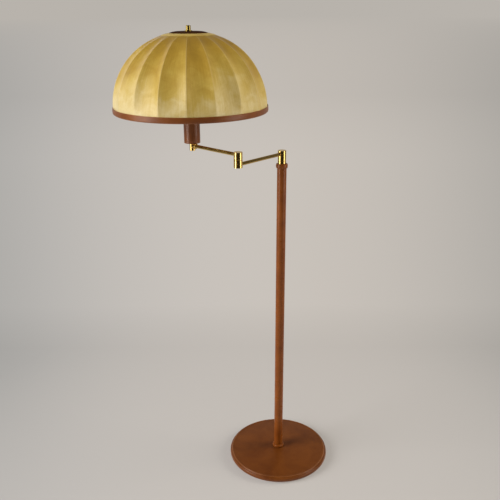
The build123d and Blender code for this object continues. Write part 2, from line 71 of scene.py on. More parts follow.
# Floor glow: a pool that fans out from before the lamp, with dusk at both sides and a cool tint at the left
POOL_COLOUR = (0.588, 0.543, 0.495)
DUSK_COLOUR = (0.410, 0.392, 0.364)
DUSK_SOFTNESS = 0.6
POOL_START = -2.37
POOL_SPREAD = 0.39
POOL_LEAST_REACH = 0.39
POOL_OPEN = -1.4
POOL_CLOSED = 0.6
COOL_TINT = (1.02, 1.04, 1.07)
COOL_FULL = -0.8
COOL_NONE = 0.2

# Floor glow by depth: a tone at each share of the way from front to back, then the backdrop's colour
FLOOR_FRONT = -1.0
FLOOR_BACK = 9.0
FLOOR_TONES = [(0.08, 1.0), (0.172, 0.89), (0.215, 0.985), (0.55, 0.985), (1.0, 0.91)]
BACKDROP = (0.480, 0.450, 0.412)
FAR_START = 8.0
FAR_END = 70.0

# Room: a low even light, a dim ceiling, a dark sheet behind the camera and bright cards at the sides; the
# sheet and cards show only in reflections, as a painted dark reflection and painted highlights
AMBIENT_COLOUR = (1.0, 0.98, 0.95)
AMBIENT_STRENGTH = 0.17
CEILING_COLOUR = (0.10, 0.09, 0.08)
CEILING_START = 0.25
CEILING_END = 0.70
SHEET_STEPS = 24
DARK_SHEET_RADIUS = 2.15
DARK_SHEET_HEADING = 105
DARK_SHEET_BOTTOM = 0.01
DARK_SHEET_TOP = 3.2
CARD_RADIUS = 2.0
CARD_COLOUR = (1.0, 0.975, 0.93, 1.0)

# Each card's left and right headings in degrees right of the camera, its bottom and top, and its glow
CARDS = {
    "left_low_card": (-77, -55, 0.25, 1.15, 4.8),
    "left_high_card": (-77, -50, 1.15, 2.3, 2.8),
    "left_rear_card": (-155, -105, 1.2, 2.4, 0.4),
    "right_low_card": (54, 78, 0.25, 1.15, 2.6),
    "right_high_card": (54, 78, 1.15, 2.2, 1.4),
}

# Materials: the span in which most of a noise pattern lies
NOISE_SPAN = (0.3, 0.7)

# Base: leather with a fine piping over a sewn groove, and the felt under it
BASE_COLUMNS = 160
BASE_POINT_PITCH = 0.004
CROWN_STEPS = 24
ROUND_STEPS = 28
BASE_LEATHER = 0.0016
BASE_EDGE_HEIGHT = 0.022
BASE_EDGE_ROUND = 0.008
BASE_FOOT_ROUND = 0.007
PIPING_ANGLE = radians(84)
PIPING_HEIGHT = 0.0012
PIPING_WIDTH = 0.0009
# The piping's lighter line: rubbed tone with a painted highlight on top
PIPING_WEAR_AND_HIGHLIGHT = 0.75
WELT_ANGLE = radians(60)
WELT_DEPTH = 0.0009
WELT_WIDTH = 0.0011
HEM_WIDTH = 0.010
FELT_COLUMNS = 120
FELT_CENTRE = 0.0005
FELT_SOFTNESS = 0.4
FELT_ROUND_STEPS = 5

# Leather rings and sleeves, with the worn share of their edges and faces
SHARP_ANGLE = radians(38)
RING_COLUMNS = 64
RING_STEPS = 28
RING_FULLNESS = 2.6
RING_WORN_FROM = 0.8
RING_EDGE_WEAR = 0.15
RING_WEAR = 0.05
SLEEVE_COLUMNS = 56
SLEEVE_POINT_PITCH = 0.012
SLEEVE_ROUND = 0.0006
SLEEVE_ROUND_STEPS = 4
SLEEVE_WAVE = 0.00004
SLEEVE_WAVES_ROUND = 2.2
SLEEVE_WAVES_UP = 39.6
SLEEVE_WORN_END = 0.0018
SLEEVE_EDGE_WEAR = 0.35
SLEEVE_WEAR = 0.06

# Sewn seams at the rear, and the places beside a seam where a mesh has a column
SEAM_HEADING = radians(90)
SEAM_DEPTH = 0.0007
SEAM_WIDTH = 0.0006
SEAM_COLUMNS = [0.0, 0.00025, 0.0005, 0.0008, 0.0012, 0.0018, 0.0026]
STITCH_PITCH = 0.006
STITCH_REACH = 0.0021
STITCH_SLANT = 0.0028
STITCH_LIFT = 0.8
THREAD_RADIUS = 0.00036
THREAD_TAPER = 0.45
THREAD_SIDES = 6
THREAD_STEPS = 6

# Bulb, with its angles in degrees above and below the envelope's middle
BULB_COLUMNS = 72
BULB_STEPS = 30
BULB_WALL = 0.0008
BULB_TOP = 89.5
BULB_FLARE = 45.0
BULB_NECK_INSET = 0.0004
FLARE_STEPS = 8
FLARE_POWER = 1.6

# Parchment panels, and the shares of half a width in from each edge where a panel has a column
DOME_BELLY_HEIGHT = 0.0135
PANEL_COUNT = 18
PANEL_HEADING = radians(-88)
PANEL_ROWS = 40
PANEL_COLUMNS = [0.0, 0.012, 0.028, 0.05, 0.08, 0.13, 0.2, 0.3, 0.42, 0.56, 0.7, 0.85]
PANEL_SHARP_ANGLE = radians(50)
PANEL_THICKNESS = 0.0008
PANEL_SAG = 0.145
PANEL_SLACK = 0.1
PANEL_EDGE_GAP = 0.0005
PANEL_GAP = 0.0002
PANEL_ROLL = 0.0004
PANEL_ROLL_WIDTH = 0.0016
PANEL_TONE = 0.06
# How strongly the panels are painted paler towards the rim and darker towards the crown: painted light and
# painted shade
PANEL_SHADE_FADE = 0.48
PANEL_SHADE_FADE_MIDDLE = 0.4
GLUE_SHARE = 0.45
GLUE_WIDTH = 0.035

# Trim of the shade: the strip round its crown, the leather round its rim and the cap
STRIP_COLUMNS = 144
STRIP_STEPS = 14
STRIP_LIFT = 0.0009
STRIP_CLEARANCE = 0.0008
STRIP_PARING = 0.85
RIM_COLUMNS = 180
RIM_STEPS = 16
RIM_LEATHER = 0.0016
RIM_LINING_HEIGHT = 0.010
RIM_WIRE = 0.004
RIM_CLEARANCE = 0.0001
RIM_FULLNESS = 2.5
RIM_EDGE_SHARE = 0.25
RIM_FOLD = 0.002
RIM_SEAM_SHARE = 0.8
RIM_WORN_BELOW = 0.003
RIM_WORN_ABOVE = 0.0015
RIM_EDGE_WEAR = 0.45
RIM_WEAR = 0.10
CAP_COLUMNS = 96
CAP_STEPS = 12
CAP_EDGE = 0.0012
CAP_EDGE_STEPS = 6
CAP_EDGE_TURN = 60
CAP_FLAT = 0.030
CAP_HOLE = 0.0033
CAP_EDGE_WEAR = 0.4
CAP_WEAR = 0.05


def middle(node):
    """The middle of a node's box."""
    low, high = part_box(node)
    return (low + high) / 2


def radius_of(node):
    """Half the width of a round node."""
    low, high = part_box(node)
    return (high.x - low.x) / 2


def upright_axis(node):
    """The upright axis that a round node is turned about, at floor level."""
    centre = middle(node)
    return Vector((centre.x, centre.y, 0))


POLE_AXIS = Vector((0, 0, 0))
HEAD_AXIS = upright_axis("cup_leather")


# Materials


class Paint:
    """One node material. Values that are the same all over are set on the shader's own sockets."""

    def __init__(self, name, fixed):
        self.material = bpy.data.materials.new(name)
        self.material.use_nodes = True
        self.tree = self.material.node_tree
        self.shader = self.tree.nodes["Principled BSDF"]
        for socket, value in fixed.items():
            self.shader.inputs[socket].default_value = value

    def node(self, kind, sockets, **settings):
        """A new node, with each socket linked to another node's socket or set to a value."""
        made = self.tree.nodes.new(kind)
        for key, value in settings.items():
            setattr(made, key, value)
        for key, value in sockets.items():
            if isinstance(value, bpy.types.NodeSocket):
                self.tree.links.new(value, made.inputs[key])
            else:
                made.inputs[key].default_value = value
        return made

    def place(self):
        """The place on the object, in metres."""
        return self.node("ShaderNodeTexCoord", {}).outputs["Object"]

    def stretched(self, vector, scale):
        """A place scaled by a factor along each axis."""
        return self.node("ShaderNodeMapping", {"Vector": vector, "Scale": scale}).outputs["Vector"]

    def clouds(self, vector, scale, detail=4.0, roughness=0.55, distortion=0.0):
        """A cloudy noise pattern."""
        sockets = {"Vector": vector, "Scale": scale, "Detail": detail, "Roughness": roughness}
        sockets["Distortion"] = distortion
        return self.node("ShaderNodeTexNoise", sockets).outputs["Fac"]

    def cells(self, vector, scale):
        """A pattern of cells, by the distance from the middle of each."""
        sockets = {"Vector": vector, "Scale": scale}
        return self.node("ShaderNodeTexVoronoi", sockets).outputs["Distance"]

    def attribute(self, name):
        """A value that the mesh holds at its points."""
        return self.node("ShaderNodeAttribute", {}, attribute_name=name).outputs["Fac"]

    def math(self, operation, first, second):
        """A sum, product or other operation on two values."""
        return self.node("ShaderNodeMath", {0: first, 1: second}, operation=operation).outputs[0]

    def weighted(self, *parts):
        """The sum of values that are each given with a weight."""
        total = 0.0
        for value, weight in parts:
            total = self.math("ADD", total, self.math("MULTIPLY", value, weight))
        return total

    def spread(self, value, span, result):
        """A value that goes over the result's range as another goes over a span."""
        sockets = {"Value": value, "From Min": span[0], "From Max": span[1]}
        sockets.update({"To Min": result[0], "To Max": result[1]})
        return self.node("ShaderNodeMapRange", sockets).outputs["Result"]

    def ramp(self, factor, stops):
        """A colour that goes through stops, each a place and a colour."""
        made = self.node("ShaderNodeValToRGB", {"Fac": factor})
        elements = made.color_ramp.elements
        while len(elements) < len(stops):
            elements.new(1.0)
        for element, (place, colour) in zip(elements, stops):
            element.position = place
            element.color = (*colour, 1.0)
        return made.outputs["Color"]

    def two_tone(self, pattern, deep, tone):
        """A colour that goes from deep to tone with a noise pattern."""
        return self.ramp(pattern, list(zip(NOISE_SPAN, (deep, tone))))

    def mix(self, factor, first, second, blend="MIX"):
        """A blend of two colours."""
        made = self.node("ShaderNodeMix", {}, data_type="RGBA", blend_type=blend)
        for index, value in ((0, factor), (6, first), (7, second)):
            if isinstance(value, bpy.types.NodeSocket):
                self.tree.links.new(value, made.inputs[index])
            elif index:
                made.inputs[index].default_value = (*value, 1.0)
            else:
                made.inputs[index].default_value = value
        return made.outputs[2]

    def finish(self, colour, roughness, height=None, bump=0.0, depth=0.0):
        """Join the colour, the roughness and a bump of a depth in metres to the shader."""
        self.tree.links.new(colour, self.shader.inputs["Base Color"])
        self.tree.links.new(roughness, self.shader.inputs["Roughness"])
        if height is not None:
            sockets = {"Height": height, "Strength": bump, "Distance": depth}
            made = self.node("ShaderNodeBump", sockets)
            self.tree.links.new(made.outputs["Normal"], self.shader.inputs["Normal"])
        return self.material


def leather(name, gloss, rough, tone, deep, worn_and_highlight):
    """Smooth hide: fine pebbled grain, soft clouds of colour, and a lighter tone on rubbed edges, which on
    the base's piping is also a painted highlight.
    """
    paint = Paint(name, {"Specular IOR Level": gloss})
    place = paint.place()
    clouds = paint.clouds(place, scale=16, detail=6, roughness=0.62, distortion=0.4)
    grain = paint.cells(place, scale=820)
    pores = paint.clouds(place, scale=2100, detail=2, roughness=0.5)
    body = paint.ramp(clouds, [(0.32, deep), (0.68, tone)])
    pitted = paint.mix(paint.spread(grain, (0.45, 0.9), (0.0, 0.35)), body, deep)
    patches = paint.spread(clouds, (0.3, 0.6), (0.35, 1.0))
    colour = paint.mix(paint.math("MULTIPLY", paint.attribute("wear_and_highlight"), patches), pitted, worn_and_highlight)
    smudges = paint.clouds(place, scale=60, detail=3, roughness=0.5)
    height = paint.weighted((pores, 0.35), (grain, -1.0))
    return paint.finish(colour, paint.spread(smudges, NOISE_SPAN, rough), height, bump=0.22, depth=0.00022)


def parchment(name, shift):
    """Yellowed parchment: cloudy mottling, fine fibres up each panel, and darker towards the crown and paler
    towards the rim: painted shade and painted light, on top of each panel's own tone.
    """
    paint = Paint(name, {"Specular IOR Level": 0.5, "Coat Weight": 0.6, "Coat Roughness": 0.45})
    place = paint.place()
    flat = paint.stretched(paint.node("ShaderNodeUVMap", {}).outputs["UV"], (46.0, 3.2, 1.0))
    fibres = paint.clouds(flat, scale=1.0, detail=5, roughness=0.6, distortion=0.5)
    blotches = paint.clouds(place, scale=26, detail=6, roughness=0.62, distortion=0.9)
    haze = paint.clouds(place, scale=7.5, detail=3, roughness=0.5, distortion=0.3)
    speckle = paint.clouds(place, scale=240, detail=3, roughness=0.6)
    tint_and_shade = paint.math("ADD", paint.attribute("tint_and_shade"), shift)
    amount = paint.weighted((blotches, 0.34), (fibres, 0.26), (haze, 0.40), (tint_and_shade, 1.0))
    colour = paint.ramp(amount, [
        (0.26, (0.320, 0.182, 0.015)),
        (0.42, (0.430, 0.262, 0.027)),
        (0.56, (0.550, 0.380, 0.068)),
        (0.72, (0.685, 0.550, 0.250)),
    ])
    colour = paint.mix(paint.spread(speckle, (0.52, 0.75), (0.0, 0.18)), colour, (0.34, 0.20, 0.030))
    colour = paint.mix(paint.attribute("glue"), colour, (0.68, 0.53, 0.22))
    roughness = paint.spread(blotches, NOISE_SPAN, (0.38, 0.54))
    height = paint.weighted((fibres, 0.6), (speckle, 0.25))
    return paint.finish(colour, roughness, height, bump=0.20, depth=0.0004)


def metal(name, bright, dull, rough):
    """Turned metal: a slight change of tone, smudges in the gloss and hair scratches."""
    paint = Paint(name, {"Metallic": 1.0})
    place = paint.place()
    smudges = paint.clouds(place, scale=34, detail=5, roughness=0.6, distortion=0.6)
    turned = paint.stretched(place, (180.0, 180.0, 2600.0))
    hairs = paint.clouds(turned, scale=1.0, detail=2, roughness=0.5)
    colour = paint.ramp(smudges, [(0.30, dull), (0.66, bright)])
    return paint.finish(colour, paint.spread(smudges, NOISE_SPAN, rough), hairs, bump=0.05, depth=0.00005)


def casting(name, tone, deep, rough):
    """Rough black cast iron."""
    paint = Paint(name, {"Metallic": 0.6})
    sand = paint.clouds(paint.place(), scale=420, detail=4, roughness=0.65)
    colour = paint.two_tone(sand, deep, tone)
    return paint.finish(colour, paint.spread(sand, NOISE_SPAN, rough), sand, bump=0.6, depth=0.0008)


def fibre(name, tone, deep, rough):
    """Pressed felt: tangled hairs over a matt ground."""
    paint = Paint(name, {"Specular IOR Level": 0.15, "Sheen Weight": 0.4, "Sheen Roughness": 0.6})
    combed = paint.stretched(paint.place(), (900.0, 520.0, 900.0))
    hairs = paint.clouds(combed, scale=1.0, detail=5, roughness=0.7, distortion=2.0)
    colour = paint.two_tone(hairs, deep, tone)
    return paint.finish(colour, paint.spread(hairs, NOISE_SPAN, rough), hairs, bump=0.7, depth=0.0006)


def moulding(name, tone, deep, rough):
    """Moulded plastic or rubber with a fine spark finish."""
    paint = Paint(name, {"Specular IOR Level": 0.45})
    place = paint.place()
    spark = paint.clouds(place, scale=1500, detail=2, roughness=0.5)
    colour = paint.two_tone(paint.clouds(place, scale=40, detail=3, roughness=0.5), deep, tone)
    return paint.finish(colour, paint.spread(spark, NOISE_SPAN, rough), spark, bump=0.12, depth=0.0001)


def frosted_glass(name, tone, deep, rough):
    """Bulb glass etched inside: pale, soft and a little see-through."""
    fixed = {"Transmission Weight": 0.55, "IOR": 1.45, "Coat Weight": 0.5, "Coat Roughness": 0.06}
    paint = Paint(name, fixed)
    etch = paint.clouds(paint.place(), scale=70, detail=4, roughness=0.6)
    colour = paint.two_tone(etch, deep, tone)
    return paint.finish(colour, paint.spread(etch, NOISE_SPAN, rough), etch, bump=0.05, depth=0.0002)


hide = leather(
    "brown_leather", gloss=0.28, rough=(0.25, 0.35),
    tone=(0.240, 0.065, 0.0070), deep=(0.152, 0.036, 0.0038), worn_and_highlight=(0.330, 0.112, 0.024),
)
polished_hide = leather(
    "polished_leather", gloss=0.42, rough=(0.34, 0.44),
    tone=(0.212, 0.058, 0.0062), deep=(0.135, 0.033, 0.0035), worn_and_highlight=(0.310, 0.105, 0.023),
)
base_hide = leather(
    "base_leather", gloss=0.30, rough=(0.28, 0.38),
    tone=(0.186, 0.054, 0.0085), deep=(0.122, 0.032, 0.0048), worn_and_highlight=(0.300, 0.115, 0.032),
)
cap_hide = leather(
    "dark_leather", gloss=0.05, rough=(0.65, 0.80),
    tone=(0.050, 0.016, 0.003), deep=(0.028, 0.009, 0.002), worn_and_highlight=(0.075, 0.028, 0.007),
)
skin = parchment("parchment", shift=0.0)
# The crown strip's parchment is shifted paler: painted light, for the side light that the upright strip
# catches
lit_strip_skin = parchment("crown_parchment_lit", shift=0.08)
brass = metal("polished_brass", (0.80, 0.56, 0.19), (0.66, 0.43, 0.12), (0.10, 0.20))
# A darker, duller copy of the brass for the finial and its washer: painted shade for the dimmer reflections
# up at the finial
shaded_brass = metal("shaded_brass", (0.50, 0.37, 0.10), (0.36, 0.26, 0.06), (0.14, 0.26))
steel = metal("plated_steel", (0.62, 0.61, 0.58), (0.48, 0.47, 0.45), (0.26, 0.42))
bronze = metal("bronze_washer", (0.42, 0.26, 0.09), (0.30, 0.18, 0.06), (0.35, 0.50))
bulb_metal = metal("bulb_cap_metal", (0.78, 0.77, 0.74), (0.64, 0.63, 0.60), (0.30, 0.45))
iron = casting("cast_iron", (0.075, 0.073, 0.072), (0.022, 0.022, 0.024), (0.55, 0.8))
felt = fibre("felt", (0.030, 0.060, 0.034), (0.012, 0.026, 0.015), (0.85, 0.98))
rubber = moulding("grommet_rubber", (0.030, 0.026, 0.022), (0.016, 0.014, 0.012), (0.55, 0.75))
plastic = moulding("black_moulding", (0.026, 0.023, 0.020), (0.014, 0.012, 0.011), (0.28, 0.42))
thread = moulding("sewing_thread", (0.120, 0.042, 0.014), (0.060, 0.020, 0.007), (0.6, 0.8))
glass = frosted_glass("bulb_glass", (0.95, 0.95, 0.93), (0.86, 0.85, 0.82), (0.42, 0.58))

slot_materials = {
    "brown_leather": hide,
    "parchment": skin,
    "polished_brass": brass,
    "cast_iron": iron,
    "felt": felt,
    "grommet_rubber": rubber,
    "plated_steel": steel,
    "bronze_washer": bronze,
    "black_moulding": plastic,
    "bulb_cap_metal": bulb_metal,
    "bulb_glass": glass,
}
for subpart in frame["record"]["subparts"]:
    solid = frame["nodes"][subpart["node"]]
    solid.data.materials.clear()
    solid.data.materials.append(slot_materials[subpart["material_slot"]])
# The finial and its washer take the darker copy of the brass: painted shade
for name in ("finial", "finial_washer"):
    frame["nodes"][name].data.materials[0] = shaded_brass


# Mesh helpers


def add_piece(name, mesh, material, body, node=None, sharp=SHARP_ANGLE):
    """Turn a bmesh into a piece that rides on a body, and stands for a node where one is named."""
    bmesh.ops.recalc_face_normals(mesh, faces=mesh.faces)
    data = bpy.data.meshes.new(name)
    mesh.to_mesh(data)
    mesh.free()
    data.shade_smooth()
    data.set_sharp_from_angle(angle=sharp)
    data.materials.append(material)
    piece = bpy.data.objects.new(name, data)
    bpy.context.scene.collection.objects.link(piece)
    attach(piece, body)
    if node:
        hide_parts(node)
    return piece


def arc(centre, radius, start, end, steps):
    """Points of a circular arc in a turned piece's section, with angles in degrees."""
    points = []
    for step in range(steps + 1):
        angle = radians(start + (end - start) * step / steps)
        points.append((centre[0] + radius * cos(angle), centre[1] + radius * sin(angle)))
    return points


def spaced(points, pitch):
    """The same section with long stretches divided, so that slow waves have points to move."""
    closed = points + points[:1]
    dense = []
    for (r0, z0), (r1, z1) in zip(closed, closed[1:]):
        parts = max(1, ceil(sqrt((r1 - r0) ** 2 + (z1 - z0) ** 2) / pitch))
        dense += [(r0 + (r1 - r0) * k / parts, z0 + (z1 - z0) * k / parts) for k in range(parts)]
    return dense


def even_angles(count):
    """Angles all round, evenly spaced."""
    return [tau * k / count for k in range(count)]


def seam_angles(count, radius):
    """Angles all round, with more of them close to a sewn seam."""
    near = [SEAM_HEADING + side * gap / radius for gap in SEAM_COLUMNS for side in (-1, 1)]
    clear = SEAM_COLUMNS[-1] / radius
    rest = [SEAM_HEADING + clear + (tau - 2 * clear) * k / count for k in range(1, count)]
    return sorted(set(round(angle % tau, 6) for angle in near + rest))


def seam_dip(angle, radius):
    """How far a sewn seam draws the surface in at an angle."""
    off = (angle - SEAM_HEADING + pi) % tau - pi
    return SEAM_DEPTH * exp(-((off * radius / SEAM_WIDTH) ** 2))


def lathe(axis, section, angles, shift=None, wear_and_highlight=None):
    """A closed section turned about an upright axis.

    shift(radius, height, angle) gives a point's move outward, and the last function gives a point's share of
    the lighter rubbed tone, which on the base's piping is also a painted highlight.
    """
    mesh = bmesh.new()
    worn_and_highlight = mesh.verts.layers.float.new("wear_and_highlight")
    rings = []
    for angle in angles:
        ring = []
        for radius, height in section:
            reach = radius + (shift(radius, height, angle) if shift else 0.0)
            vert = mesh.verts.new(axis + Vector((reach * cos(angle), reach * sin(angle), height)))
            vert[worn_and_highlight] = wear_and_highlight(radius, height) if wear_and_highlight else 0.0
            ring.append(vert)
        rings.append(ring)
    for ring, following in zip(rings, rings[1:] + rings[:1]):
        for k in range(len(section)):
            after = (k + 1) % len(section)
            mesh.faces.new((ring[k], following[k], following[after], ring[after]))
    return mesh


def sew(mesh, start, end, lift):
    """Add one stitch to a mesh: a thread that bows outward from start to end."""
    along = end - start
    side = along.cross(lift).normalized()
    out = lift.normalized()
    rings = []
    for step in range(THREAD_STEPS + 1):
        bow = sin(pi * step / THREAD_STEPS)
        centre = start + along * step / THREAD_STEPS + lift * bow
        girth = THREAD_RADIUS * (THREAD_TAPER + (1 - THREAD_TAPER) * bow)
        ring = [centre + (side * cos(a) + out * sin(a)) * girth for a in even_angles(THREAD_SIDES)]
        rings.append([mesh.verts.new(point) for point in ring])
    for ring, following in zip(rings, rings[1:]):
        for k in range(THREAD_SIDES):
            after = (k + 1) % THREAD_SIDES
            mesh.faces.new((ring[k], ring[after], following[after], following[k]))
    mesh.faces.new(reversed(rings[0]))
    mesh.faces.new(rings[-1])


# Stand


def welt_height(angle):
    """How far the sewn welt stands out of the base's rounded edge: a fine piping over a groove."""
    piping = (angle - PIPING_ANGLE) * BASE_EDGE_ROUND / PIPING_WIDTH
    groove = (angle - WELT_ANGLE) * BASE_EDGE_ROUND / WELT_WIDTH
    return PIPING_HEIGHT * exp(-(piping ** 2)) - WELT_DEPTH * exp(-(groove ** 2))


def base_outline(inset):
    """The base's section from its crown to the hem, drawn in from the leather's outside."""
    low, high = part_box("base_cover")
    edge = radius_of("base_cover") - inset
    top = high.z - inset
    bottom = low.z + inset
    shoulder = BASE_EDGE_HEIGHT - inset
    edge_round = BASE_EDGE_ROUND - inset
    foot_round = BASE_FOOT_ROUND - inset
    start = radius_of("pole_tube")
    reach = edge - edge_round
    outline = []
    for step in range(CROWN_STEPS):
        radius = start + (reach - start) * step / CROWN_STEPS
        outline.append((radius, shoulder + (top - shoulder) * (1 - (radius / reach) ** 2)))
    for step in range(ROUND_STEPS + 1):
        angle = pi / 2 * (1 - step / ROUND_STEPS)
        radius = edge_round + (0.0 if inset else welt_height(angle))
        outline.append((reach + radius * cos(angle), shoulder - edge_round + radius * sin(angle)))
    outline += arc((edge - foot_round, bottom + foot_round), foot_round, 0, -90, ROUND_STEPS // 2)
    return outline + [(radius_of("base_cover") - BASE_FOOT_ROUND - HEM_WIDTH, bottom)]


def base_leather():
    """The hide over the base: a soft crown, a sewn welt round its shoulder and a hem turned under."""
    section = spaced(base_outline(0.0) + base_outline(BASE_LEATHER)[::-1], BASE_POINT_PITCH)
    piping = radius_of("base_cover") - BASE_EDGE_ROUND * (1 - cos(PIPING_ANGLE))

    # The lighter line along the piping: rubbed tone with a painted highlight on top
    def wear_and_highlight(radius, height):
        on_top = height > BASE_EDGE_ROUND
        return PIPING_WEAR_AND_HIGHLIGHT * exp(-(((radius - piping) / PIPING_WIDTH) ** 2)) if on_top else 0.0

    mesh = lathe(POLE_AXIS, section, even_angles(BASE_COLUMNS), wear_and_highlight=wear_and_highlight)
    add_piece("base_leather", mesh, base_hide, "stand", "base_cover")


def felt_pad():
    """The felt under the base, with a soft edge."""
    low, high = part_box("base_felt")
    edge = radius_of("base_felt")
    soft = (high.z - low.z) * FELT_SOFTNESS
    section = [(FELT_CENTRE, low.z), (edge / 2, low.z)]
    section += arc((edge - soft, low.z + soft), soft, -90, 0, FELT_ROUND_STEPS)
    section += arc((edge - soft, high.z - soft), soft, 0, 90, FELT_ROUND_STEPS)
    section.append((FELT_CENTRE, high.z))
    mesh = lathe(POLE_AXIS, section, even_angles(FELT_COLUMNS))
    add_piece("felt_pad", mesh, felt, "stand", "base_felt")


def leather_ring(name, node, inner):
    """A rolled leather ring round the pole, full and round, closed by a butt seam at the rear."""
    low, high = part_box(node)
    outer = radius_of(node)
    width = outer - inner
    half = (high.z - low.z) / 2
    section = []
    for step in range(RING_STEPS + 1):
        angle = pi / 2 - pi * step / RING_STEPS
        out = max(0.0, cos(angle)) ** (2 / RING_FULLNESS)
        rise = copysign(abs(sin(angle)) ** (2 / RING_FULLNESS), sin(angle))
        section.append((inner + width * out, low.z + half * (1 + rise)))

    def shift(radius, height, angle):
        return -seam_dip(angle, outer) * (radius - inner) / width

    def wear_and_highlight(radius, height):
        return RING_EDGE_WEAR if radius > inner + RING_WORN_FROM * width else RING_WEAR

    mesh = lathe(POLE_AXIS, section, seam_angles(RING_COLUMNS, outer), shift, wear_and_highlight)
    add_piece(name, mesh, hide, "stand", node)


def leather_sleeve(name, node, axis, inner, body, material):
    """A leather sleeve sewn up at the rear, with its row of stitches."""
    low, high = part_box(node)
    outer = radius_of(node)
    corner = outer - SLEEVE_ROUND
    section = [(inner, low.z)]
    section += arc((corner, low.z + SLEEVE_ROUND), SLEEVE_ROUND, -90, 0, SLEEVE_ROUND_STEPS)
    section += arc((corner, high.z - SLEEVE_ROUND), SLEEVE_ROUND, 0, 90, SLEEVE_ROUND_STEPS)
    section.append((inner, high.z))

    def shift(radius, height, angle):
        if radius < corner:
            return 0.0
        spot = Vector((cos(angle), sin(angle), 0)) * SLEEVE_WAVES_ROUND
        spot.z = height * SLEEVE_WAVES_UP
        return SLEEVE_WAVE * noise.noise(spot) - seam_dip(angle, outer)

    def wear_and_highlight(radius, height):
        from_end = min(height - low.z, high.z - height)
        return SLEEVE_EDGE_WEAR if from_end < SLEEVE_WORN_END else SLEEVE_WEAR

    section = spaced(section, SLEEVE_POINT_PITCH)
    mesh = lathe(axis, section, seam_angles(SLEEVE_COLUMNS, outer), shift, wear_and_highlight)
    add_piece(name, mesh, material, body, node)
    sew_seam(name + "_stitches", axis, outer, low.z, high.z, body)


def sew_seam(name, axis, outer, bottom, top, body):
    """Slanted stitches across a sleeve's seam, from its foot to its top."""
    mesh = bmesh.new()
    count = int((top - bottom) / STITCH_PITCH) - 1
    start = (bottom + top) / 2 - (count - 1) * STITCH_PITCH / 2
    lift = Vector((cos(SEAM_HEADING), sin(SEAM_HEADING), 0)) * THREAD_RADIUS * STITCH_LIFT
    for k in range(count):
        ends = []
        for side in (-1, 1):
            angle = SEAM_HEADING + side * STITCH_REACH / outer
            height = start + k * STITCH_PITCH + side * STITCH_SLANT / 2
            ends.append(axis + Vector((outer * cos(angle), outer * sin(angle), height)))
        sew(mesh, ends[0], ends[1], lift)
    add_piece(name, mesh, thread, body)


pole_radius = radius_of("pole_leather")
base_leather()
felt_pad()
leather_sleeve("pole_sleeve", "pole_leather", POLE_AXIS, radius_of("pole_tube"), "stand", hide)
leather_ring("foot_ring", "base_collar", pole_radius)
leather_ring("neck_ring", "top_collar", pole_radius)


# Head


def bulb_envelope():
    """The bulb's glass: a round envelope that runs down to a neck in the cap."""
    low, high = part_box("bulb_glass")
    outside = radius_of("bulb_glass")
    centre = high.z - outside
    sections = []
    for inset in (0.0, BULB_WALL):
        radius = outside - inset
        neck = radius_of("bulb_cap") - BULB_NECK_INSET - inset
        section = arc((0.0, centre), radius, BULB_TOP, -BULB_FLARE, BULB_STEPS)
        belly, shoulder = section[-1]
        flare = belly - neck
        for step in range(1, FLARE_STEPS + 1):
            left = 1 - step / FLARE_STEPS
            section.append((neck + flare * left ** FLARE_POWER, shoulder - flare * (1 - left)))
        sections.append(section + [(neck, low.z)])
    mesh = lathe(HEAD_AXIS, sections[0] + sections[1][::-1], even_angles(BULB_COLUMNS))
    add_piece("bulb_envelope", mesh, glass, "upper_arm", "bulb_glass")


cup_radius = radius_of("socket_cup")
bulb_envelope()
leather_sleeve("cup_sleeve", "cup_leather", HEAD_AXIS, cup_radius, "upper_arm", polished_hide)


# Shade

rim_low, rim_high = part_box("shade_rim_band")
cap_low, cap_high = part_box("shade_cap")
rim_radius = radius_of("shade_rim_band") - RIM_LEATHER
rim_height = rim_low.z + RIM_LEATHER
cap_radius = radius_of("shade_cap")
dome_belly = rim_height + DOME_BELLY_HEIGHT
dome_rise = cap_low.z - dome_belly
dome_radius = dome_rise / sin(2 * atan((rim_radius - cap_radius) / dome_rise))
dome_offset = rim_radius - dome_radius
half_panel = pi / PANEL_COUNT
panel_start = asin((PANEL_EDGE_GAP - DOME_BELLY_HEIGHT) / dome_radius)
panel_end = acos((cap_radius / cos(half_panel) - dome_offset) / dome_radius)
panel_sweep = panel_end - panel_start
strip_radius = dome_radius + STRIP_LIFT
strip_start = acos((radius_of("shade_top_band") - dome_offset) / strip_radius)
strip_end = acos((cap_radius + STRIP_CLEARANCE - dome_offset) / strip_radius)
strip_share = (strip_start - panel_start) / panel_sweep


def panel_point(heading, share, across, depth, slack):
    """A point of a panel: a share of the way up, across from -1 to 1, and a depth under its face."""
    rise = panel_start + share * panel_sweep
    radius = dome_offset + dome_radius * cos(rise)
    half_width = radius * sin(half_panel) - PANEL_GAP / 2
    bulge = radius * (1 - cos(half_panel)) * cos(rise)
    hollow = 1 - (1 - sin(pi * min(1.0, share / strip_share))) ** 2
    sag = PANEL_SAG * slack * 2 * half_width * hollow
    from_edge = (1 - abs(across)) * half_width
    roll = PANEL_ROLL * exp(-((from_edge / PANEL_ROLL_WIDTH) ** 2))
    lift = (bulge - sag) * (1 - across ** 2) - roll - depth
    out = radius * cos(half_panel) + lift * cos(rise)
    height = dome_belly + (dome_radius + lift) * sin(rise)
    flat = Vector((out, across * half_width, height))
    return HEAD_AXIS + Matrix.Rotation(heading, 3, "Z") @ flat


